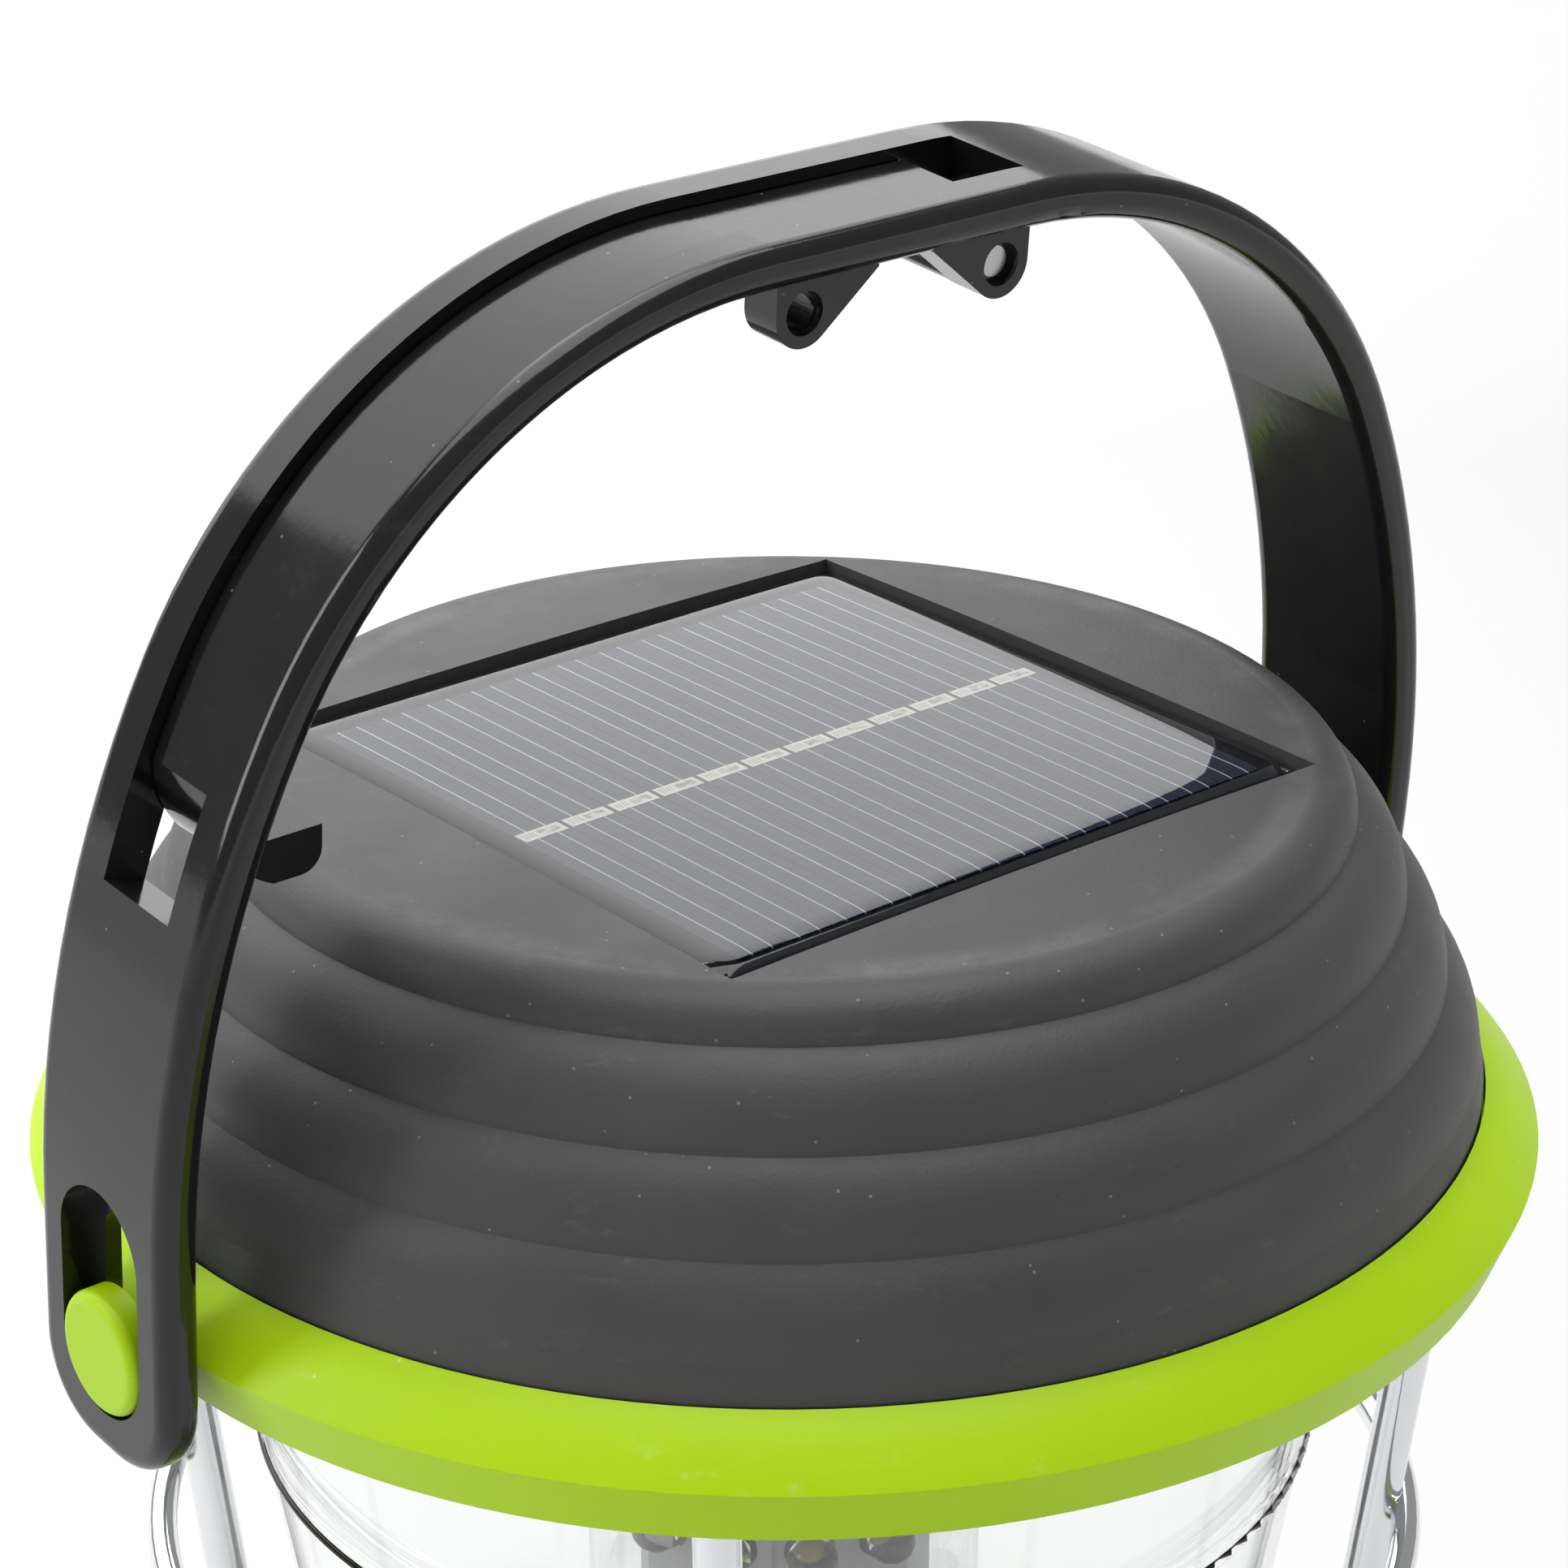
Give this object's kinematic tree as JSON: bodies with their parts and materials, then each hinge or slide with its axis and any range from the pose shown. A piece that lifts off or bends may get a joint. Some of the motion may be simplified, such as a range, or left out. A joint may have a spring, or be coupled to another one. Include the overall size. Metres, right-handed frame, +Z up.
{
  "type": "solar lantern",
  "caption": "Round camping lantern with a stepped solar cap, green rings, a clear tapered globe in a wire guard and a swinging carry handle with a fold-out hook.",
  "frame": {"origin": "on the table, under the middle of the base", "axes": "+Z up, +X along the pivot pins of the carrying handle, -Y the side with the power button"},
  "size_m": [0.1606, 0.15, 0.2672],
  "materials": {
    "dark_plastic": "matte, lightly speckled",
    "black_plastic": "semi-gloss moulded",
    "green_plastic": "satin",
    "white_plastic": "gloss",
    "clear_plastic": "clear, polished",
    "chrome": "plated, bright",
    "steel": "zinc plated",
    "silicon": "dark blue, polished",
    "resin": "clear epoxy",
    "ribbon": "tinned",
    "board": "solder mask",
    "panel_backing": "black laminate",
    "rubber": "matte",
    "battery_sleeve": "shrink sleeve",
    "wire_sleeve": "insulation",
    "led_body": "water clear",
    "chips": "moulded"
  },
  "bodies": {
    "housing": {"cap_dome": "dark_plastic", "cap_ring": "green_plastic", "head_plate": "white_plastic", "head_screws": "steel", "panel_board": "panel_backing", "solar_cells": "silicon", "cell_ribbons": "ribbon", "panel_resin": "resin", "globe": "clear_plastic", "guard_rods": "chrome", "guard_hoop": "chrome", "leds": "led_body", "lamp_column": "white_plastic", "lamp_tube": "clear_plastic", "base_shell": "dark_plastic", "base_ring": "green_plastic", "base_deck": "white_plastic", "deck_screws": "steel", "base_cover": "black_plastic", "cover_screws": "steel", "foot_pads": "rubber", "battery_tray": "black_plastic", "battery_cells": "battery_sleeve", "control_board": "board", "board_parts": "chips", "board_screws": "steel", "lamp_wires": "wire_sleeve", "switch_body": "chips", "charge_light": "led_body", "charge_socket": "black_plastic", "cover_pin": "steel"},
    "pins": {"pivot_pins": "green_plastic", "pin_screws": "steel"},
    "bail": {"handle": "black_plastic", "hook_pin": "steel"},
    "hook": {"hanging_hook": "black_plastic"},
    "button": {"power_button": "green_plastic"},
    "socket_flap": {"socket_cover": "rubber"}
  },
  "joints": [
    {"name": "handle_swing", "type": "hinge", "parent": "housing", "child": "pins", "pos_m": [0, 0, 0.1715], "axis": [1, 0, 0], "range_deg": [-109, 100]},
    {"name": "handle_slide", "type": "slide", "parent": "pins", "child": "bail", "axis": [0, 0.0767, -0.9971], "range_m": [0, 0.007]},
    {"name": "hook_swing", "type": "hinge", "parent": "bail", "child": "hook", "pos_m": [0.0123, -0.00677, 0.25944], "axis": [0, 0.9971, 0.0767], "range_deg": [0, 90]},
    {"name": "button_press", "type": "slide", "parent": "housing", "child": "button", "axis": [0, 1, 0], "range_m": [0, 0.002], "stiffness_N_per_m": 600, "springref_m": -0.001},
    {"name": "socket_flap_swing", "type": "hinge", "parent": "housing", "child": "socket_flap", "pos_m": [0, 0.06805, 0.034], "axis": [1, 0, 0], "range_deg": [0, 110]}
  ]
}
